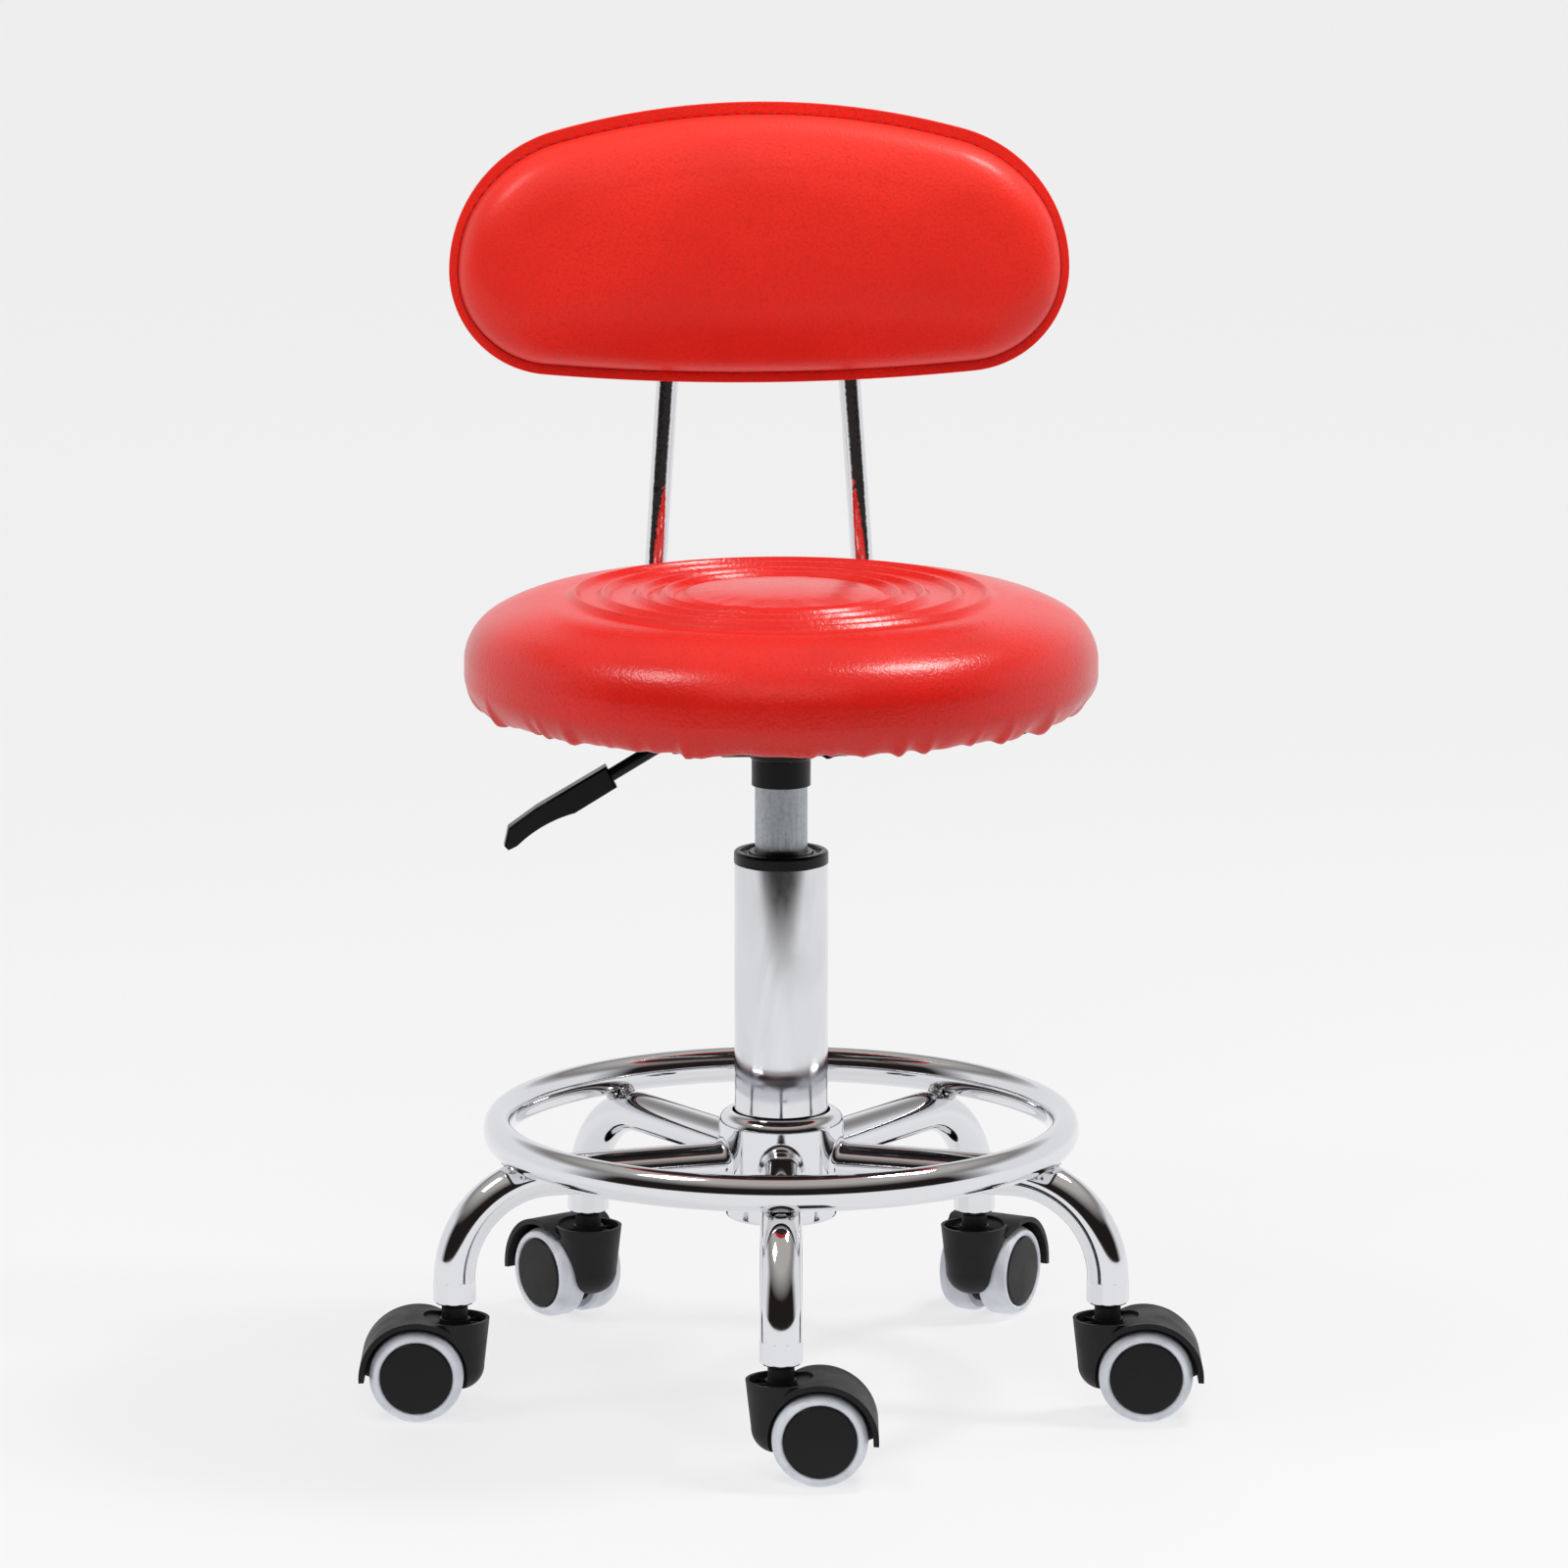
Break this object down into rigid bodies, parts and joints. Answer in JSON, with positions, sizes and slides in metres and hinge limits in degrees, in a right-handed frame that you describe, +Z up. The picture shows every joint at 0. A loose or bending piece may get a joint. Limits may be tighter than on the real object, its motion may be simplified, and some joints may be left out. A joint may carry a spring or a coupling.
{
  "type": "rolling stool",
  "caption": "Round gas-lift stool with a low curved backrest, lever, foot ring and star base of bent tube legs on twin-wheel casters.",
  "frame": {"origin": "on the column's axis at floor level, where the wheels stand", "axes": "+Z up along the column; the backrest is on the +Y side, so the sitter faces -Y and the lever is on the -X side"},
  "size_m": [0.4495, 0.4148, 0.6735],
  "materials": {
    "chrome": "polished",
    "bare_steel": "satin",
    "zinc_steel": "satin",
    "black_enamel": "gloss",
    "gloss_black_plastic": "gloss",
    "seat_vinyl": "satin",
    "back_vinyl": "satin",
    "cushion_foam": "matte",
    "plywood": "matte",
    "black_cloth": "matte",
    "caster_nylon": "matte",
    "caster_tyre": "satin"
  },
  "bodies": {
    "base": {"base_hub": "chrome", "leg_1": "chrome", "leg_2": "chrome", "leg_3": "chrome", "leg_4": "chrome", "leg_5": "chrome", "foot_ring": "chrome", "caster_sockets": "chrome", "caster_stems": "bare_steel", "column_tube": "chrome", "guide_collar": "gloss_black_plastic"},
    "spindle": {"piston_rod": "bare_steel", "rod_retainers": "bare_steel"},
    "seat": {"gas_cylinder": "zinc_steel", "seat_plate": "black_enamel", "seat_board": "plywood", "seat_lining": "black_cloth", "seat_foam": "cushion_foam", "seat_cover": "seat_vinyl", "screws": "bare_steel", "lever_pivot": "bare_steel", "back_post_left": "chrome", "back_post_right": "chrome", "back_board": "plywood", "back_foam": "cushion_foam", "back_cover": "back_vinyl", "back_lining": "back_vinyl"},
    "lever": {"lever_rod": "black_enamel", "lever_grip": "gloss_black_plastic"},
    "valve": {"valve_pin": "bare_steel"},
    "caster_1": {"caster_1_housing": "caster_nylon", "caster_1_axle": "bare_steel"},
    "wheel_1_left": {"caster_1_left_core": "caster_nylon", "caster_1_left_tyre": "caster_tyre"},
    "wheel_1_right": {"caster_1_right_core": "caster_nylon", "caster_1_right_tyre": "caster_tyre"},
    "caster_2": {"caster_2_housing": "caster_nylon", "caster_2_axle": "bare_steel"},
    "wheel_2_left": {"caster_2_left_core": "caster_nylon", "caster_2_left_tyre": "caster_tyre"},
    "wheel_2_right": {"caster_2_right_core": "caster_nylon", "caster_2_right_tyre": "caster_tyre"},
    "caster_3": {"caster_3_housing": "caster_nylon", "caster_3_axle": "bare_steel"},
    "wheel_3_left": {"caster_3_left_core": "caster_nylon", "caster_3_left_tyre": "caster_tyre"},
    "wheel_3_right": {"caster_3_right_core": "caster_nylon", "caster_3_right_tyre": "caster_tyre"},
    "caster_4": {"caster_4_housing": "caster_nylon", "caster_4_axle": "bare_steel"},
    "wheel_4_left": {"caster_4_left_core": "caster_nylon", "caster_4_left_tyre": "caster_tyre"},
    "wheel_4_right": {"caster_4_right_core": "caster_nylon", "caster_4_right_tyre": "caster_tyre"},
    "caster_5": {"caster_5_housing": "caster_nylon", "caster_5_axle": "bare_steel"},
    "wheel_5_left": {"caster_5_left_core": "caster_nylon", "caster_5_left_tyre": "caster_tyre"},
    "wheel_5_right": {"caster_5_right_core": "caster_nylon", "caster_5_right_tyre": "caster_tyre"}
  },
  "joints": [
    {"name": "seat_swivel", "type": "hinge", "parent": "base", "child": "spindle", "pos_m": [0, 0, 0.2], "axis": [0, 0, 1], "continuous": true},
    {"name": "seat_lift", "type": "slide", "parent": "spindle", "child": "seat", "axis": [0, 0, 1], "range_m": [-0.03, 0.09]},
    {"name": "lever_pull", "type": "hinge", "parent": "seat", "child": "lever", "pos_m": [-0.03, 0, 0.366], "axis": [0, 1, 0], "range_deg": [0, 5], "stiffness_Nm_per_rad": 2, "springref_deg": -1.72},
    {"name": "valve_press", "type": "slide", "parent": "seat", "child": "valve", "axis": [0, 0, -1], "range_m": [0, 0.0027]},
    {"name": "caster_1_swivel", "type": "hinge", "parent": "base", "child": "caster_1", "pos_m": [-0.01176, -0.18187, 0.05], "axis": [0, 0, 1], "continuous": true},
    {"name": "wheel_1_left_spin", "type": "hinge", "parent": "caster_1", "child": "wheel_1_left", "pos_m": [0.0082, -0.18316, 0.025], "axis": [0.0645, 0.9979, 0], "continuous": true},
    {"name": "wheel_1_right_spin", "type": "hinge", "parent": "caster_1", "child": "wheel_1_right", "pos_m": [0.0082, -0.18316, 0.025], "axis": [0.0645, 0.9979, 0], "continuous": true},
    {"name": "caster_2_swivel", "type": "hinge", "parent": "base", "child": "caster_2", "pos_m": [0.16933, -0.06739, 0.05], "axis": [0, 0, 1], "continuous": true},
    {"name": "wheel_2_left_spin", "type": "hinge", "parent": "caster_2", "child": "wheel_2_left", "pos_m": [0.18929, -0.06868, 0.025], "axis": [0.0645, 0.9979, 0], "continuous": true},
    {"name": "wheel_2_right_spin", "type": "hinge", "parent": "caster_2", "child": "wheel_2_right", "pos_m": [0.18929, -0.06868, 0.025], "axis": [0.0645, 0.9979, 0], "continuous": true},
    {"name": "caster_3_swivel", "type": "hinge", "parent": "base", "child": "caster_3", "pos_m": [0.11642, 0.14022, 0.05], "axis": [0, 0, 1], "continuous": true},
    {"name": "wheel_3_left_spin", "type": "hinge", "parent": "caster_3", "child": "wheel_3_left", "pos_m": [0.12696, 0.15722, 0.025], "axis": [-0.8499, 0.527, 0], "continuous": true},
    {"name": "wheel_3_right_spin", "type": "hinge", "parent": "caster_3", "child": "wheel_3_right", "pos_m": [0.12696, 0.15722, 0.025], "axis": [-0.8499, 0.527, 0], "continuous": true},
    {"name": "caster_4_swivel", "type": "hinge", "parent": "base", "child": "caster_4", "pos_m": [-0.09739, 0.15405, 0.05], "axis": [0, 0, 1], "continuous": true},
    {"name": "wheel_4_left_spin", "type": "hinge", "parent": "caster_4", "child": "wheel_4_left", "pos_m": [-0.10834, 0.17078, 0.025], "axis": [-0.8368, -0.5476, 0], "continuous": true},
    {"name": "wheel_4_right_spin", "type": "hinge", "parent": "caster_4", "child": "wheel_4_right", "pos_m": [-0.10834, 0.17078, 0.025], "axis": [-0.8368, -0.5476, 0], "continuous": true},
    {"name": "caster_5_swivel", "type": "hinge", "parent": "base", "child": "caster_5", "pos_m": [-0.1766, -0.04502, 0.05], "axis": [0, 0, 1], "continuous": true},
    {"name": "wheel_5_left_spin", "type": "hinge", "parent": "caster_5", "child": "wheel_5_left", "pos_m": [-0.19656, -0.04372, 0.025], "axis": [-0.0645, -0.9979, 0], "continuous": true},
    {"name": "wheel_5_right_spin", "type": "hinge", "parent": "caster_5", "child": "wheel_5_right", "pos_m": [-0.19656, -0.04372, 0.025], "axis": [-0.0645, -0.9979, 0], "continuous": true}
  ],
  "couplings": [
    {"joint": "valve_press", "follows": "lever_pull", "m_per_rad": 0.03}
  ]
}
